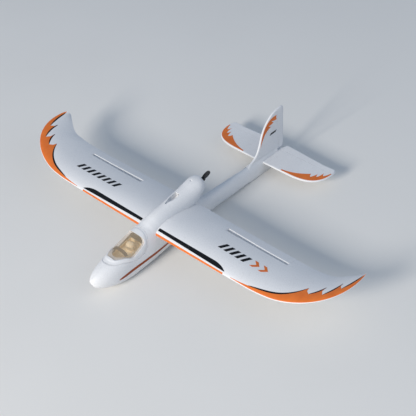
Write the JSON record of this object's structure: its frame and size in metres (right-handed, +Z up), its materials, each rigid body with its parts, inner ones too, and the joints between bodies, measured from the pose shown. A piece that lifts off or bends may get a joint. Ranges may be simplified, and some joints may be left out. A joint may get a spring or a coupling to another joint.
{
  "type": "rc sailplane",
  "caption": "White foam radio-control sailplane with upturned wing tips, a pusher propeller in a pod above the wing, lift-off canopy and hinged tail and wing surfaces.",
  "frame": {"origin": "on the ground below the middle of the bounding box", "axes": "+X towards the left wing tip, +Y from the nose to the tail, +Z up"},
  "size_m": [0.8, 0.542, 0.1313],
  "materials": {
    "foam": "white beaded foam",
    "glazing": "tinted clear plastic",
    "cockpit_plastic": "moulded, satin",
    "dark_trim": "satin",
    "carbon": "pultruded, satin",
    "battery_wrap": "shrink wrap",
    "webbing": "hook-and-loop tape",
    "heat_shrink": "shrink tube",
    "receiver_case": "satin",
    "lead": "silicone wire",
    "black_plastic": "glass-filled nylon",
    "copper": "lacquered windings",
    "anodised": "turned, satin",
    "steel": "drawn",
    "servo_case": "moulded",
    "nylon": "moulded nylon"
  },
  "bodies": {
    "airframe": {"fuselage_left": "foam", "fuselage_right": "foam", "vertical_fin": "foam", "horizontal_stabilizer": "foam", "wing_spar": "carbon", "battery": "battery_wrap", "battery_strap": "webbing", "speed_controller": "heat_shrink", "receiver": "receiver_case", "battery_lead": "lead", "motor_mount": "black_plastic", "motor_stator": "copper", "elevator_servo": "servo_case", "rudder_servo": "servo_case", "cabin_magnet_left": "steel", "cabin_magnet_right": "steel"},
    "rotor": {"motor_bell": "anodised", "propeller": "black_plastic", "propeller_nut": "steel"},
    "hatch": {"canopy_hatch": "foam", "canopy_window": "glazing", "cockpit_tub": "cockpit_plastic", "window_bow": "dark_trim", "hatch_magnet_left": "steel", "hatch_magnet_right": "steel"},
    "rudder": {"rudder": "foam", "rudder_horn": "nylon"},
    "rudder_servo_arm": {"rudder_arm": "nylon"},
    "rudder_rod": {"rudder_pushrod": "steel"},
    "elevator": {"elevator": "foam", "elevator_horn": "nylon"},
    "elevator_servo_arm": {"elevator_arm": "nylon"},
    "elevator_rod": {"elevator_pushrod": "steel"},
    "left_panel": {"left_wing": "foam", "left_aileron_servo": "servo_case"},
    "left_aileron": {"left_aileron": "foam", "left_aileron_horn": "nylon"},
    "left_aileron_servo_arm": {"left_aileron_arm": "nylon"},
    "left_aileron_rod": {"left_aileron_pushrod": "steel"},
    "right_panel": {"right_wing": "foam", "right_aileron_servo": "servo_case"},
    "right_aileron": {"right_aileron": "foam", "right_aileron_horn": "nylon"},
    "right_aileron_servo_arm": {"right_aileron_arm": "nylon"},
    "right_aileron_rod": {"right_aileron_pushrod": "steel"}
  },
  "joints": [
    {"name": "propeller_spin", "type": "hinge", "parent": "airframe", "child": "rotor", "pos_m": [0, 0.019, 0.0895], "axis": [0, 1, 0], "continuous": true},
    {"name": "rudder_hinge", "type": "hinge", "parent": "airframe", "child": "rudder", "pos_m": [0.002, 0.2475, 0.08], "axis": [0, 0, 1], "range_deg": [-25, 25]},
    {"name": "rudder_arm_turn", "type": "hinge", "parent": "airframe", "child": "rudder_servo_arm", "pos_m": [0.002, -0.111, 0.031], "axis": [0, 0, 1], "range_deg": [-26, 26]},
    {"name": "rudder_rod_pivot", "type": "hinge", "parent": "rudder_servo_arm", "child": "rudder_rod", "pos_m": [-0.005, -0.111, 0.0334], "axis": [0, 0, 1], "range_deg": [-26, 26]},
    {"name": "elevator_hinge", "type": "hinge", "parent": "airframe", "child": "elevator", "pos_m": [0, 0.2505, 0.029], "axis": [1, 0, 0], "range_deg": [-20, 20]},
    {"name": "elevator_arm_turn", "type": "hinge", "parent": "airframe", "child": "elevator_servo_arm", "pos_m": [0.0085, -0.075, 0.031], "axis": [0, 0, 1], "range_deg": [-29.6, 29.6]},
    {"name": "elevator_rod_pivot", "type": "hinge", "parent": "elevator_servo_arm", "child": "elevator_rod", "pos_m": [0.0015, -0.075, 0.0334], "axis": [0, 0, 1], "range_deg": [-29.6, 29.6]},
    {"name": "left_panel_pull", "type": "slide", "parent": "airframe", "child": "left_panel", "axis": [1, 0, 0], "range_m": [0, 0.14]},
    {"name": "left_aileron_hinge", "type": "hinge", "parent": "left_panel", "child": "left_aileron", "pos_m": [0.1885, -0.0275, 0.0552], "axis": [1, 0, 0], "range_deg": [-20, 20]},
    {"name": "left_aileron_arm_turn", "type": "hinge", "parent": "left_panel", "child": "left_aileron_servo_arm", "pos_m": [0.187, -0.081, 0.062], "axis": [1, 0, 0], "range_deg": [-10, 10]},
    {"name": "left_aileron_rod_slide", "type": "slide", "parent": "left_panel", "child": "left_aileron_rod", "axis": [0, 1, 0], "range_m": [-0.002, 0.002]},
    {"name": "right_panel_pull", "type": "slide", "parent": "airframe", "child": "right_panel", "axis": [-1, 0, 0], "range_m": [0, 0.14]},
    {"name": "right_aileron_hinge", "type": "hinge", "parent": "right_panel", "child": "right_aileron", "pos_m": [-0.1885, -0.0275, 0.0552], "axis": [1, 0, 0], "range_deg": [-20, 20]},
    {"name": "right_aileron_arm_turn", "type": "hinge", "parent": "right_panel", "child": "right_aileron_servo_arm", "pos_m": [-0.187, -0.081, 0.062], "axis": [1, 0, 0], "range_deg": [-10, 10]},
    {"name": "right_aileron_rod_slide", "type": "slide", "parent": "right_panel", "child": "right_aileron_rod", "axis": [0, 1, 0], "range_m": [-0.002, 0.002]},
    {"name": "hatch_lift", "type": "slide", "parent": "airframe", "child": "hatch", "axis": [0, 0, 1], "range_m": [0, 0.06]}
  ],
  "couplings": [
    {"joint": "rudder_arm_turn", "follows": "rudder_hinge", "ratio": 1},
    {"joint": "rudder_rod_pivot", "follows": "rudder_hinge", "ratio": -1},
    {"joint": "elevator_arm_turn", "follows": "elevator_hinge", "ratio": -1.4286},
    {"joint": "elevator_rod_pivot", "follows": "elevator_hinge", "ratio": 1.4286},
    {"joint": "left_aileron_arm_turn", "follows": "left_aileron_hinge", "ratio": 0.4087},
    {"joint": "left_aileron_rod_slide", "follows": "left_aileron_hinge", "m_per_rad": 0.0047},
    {"joint": "right_aileron_hinge", "follows": "left_aileron_hinge", "ratio": -1},
    {"joint": "right_aileron_arm_turn", "follows": "left_aileron_hinge", "ratio": -0.4087},
    {"joint": "right_aileron_rod_slide", "follows": "left_aileron_hinge", "m_per_rad": -0.0047}
  ]
}
